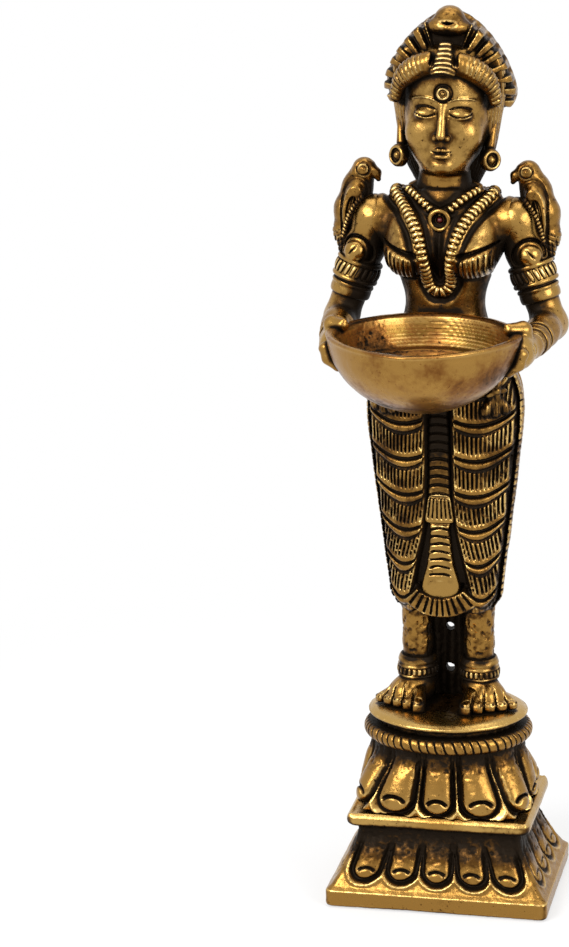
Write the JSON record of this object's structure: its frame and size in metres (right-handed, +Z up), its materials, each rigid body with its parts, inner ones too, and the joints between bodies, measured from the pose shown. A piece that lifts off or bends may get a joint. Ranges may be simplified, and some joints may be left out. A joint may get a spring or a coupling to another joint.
{
  "type": "oil lamp figurine",
  "caption": "Cast brass oil lamp in the form of a standing figure on a lotus plinth, with parrots on the shoulders and a shallow oil bowl held forward in both hands.",
  "frame": {"origin": "centre of the plinth's underside, on the plane of its rim", "axes": "+Z up, the figure faces -Y, +X towards the figure's left hand"},
  "size_m": [0.0522, 0.0669, 0.1998],
  "materials": {
    "antique_brass": "cast brass with dark patina in the recesses and rubbed bright ridges",
    "rubbed_brass": "cast brass ornaments, rubbed bright",
    "satin_brass": "smooth satin brass with brown stains, turned inside",
    "red_stone": "dark red polished cabochon"
  },
  "bodies": {
    "root": {"base_plinth": "antique_brass", "upper_plate": "antique_brass", "lotus_drum": "antique_brass", "rope_band": "antique_brass", "foot_disc": "antique_brass", "right_leg": "antique_brass", "left_leg": "antique_brass", "right_anklet": "rubbed_brass", "left_anklet": "rubbed_brass", "rear_drape": "antique_brass", "skirt": "antique_brass", "front_sash": "rubbed_brass", "girdle": "rubbed_brass", "torso": "antique_brass", "long_necklace": "rubbed_brass", "short_necklace": "rubbed_brass", "pendant": "rubbed_brass", "pendant_stone": "red_stone", "right_arm": "antique_brass", "left_arm": "antique_brass", "right_armlet": "rubbed_brass", "left_armlet": "rubbed_brass", "right_elbow_band": "rubbed_brass", "left_elbow_band": "rubbed_brass", "right_bangles": "rubbed_brass", "left_bangles": "rubbed_brass", "right_parrot": "antique_brass", "left_parrot": "antique_brass", "head": "antique_brass", "hair": "antique_brass", "crown": "antique_brass", "crest": "rubbed_brass", "bindi": "rubbed_brass", "right_earring": "rubbed_brass", "left_earring": "rubbed_brass", "braid": "antique_brass", "lamp_bowl": "satin_brass"}
  },
  "joints": []
}
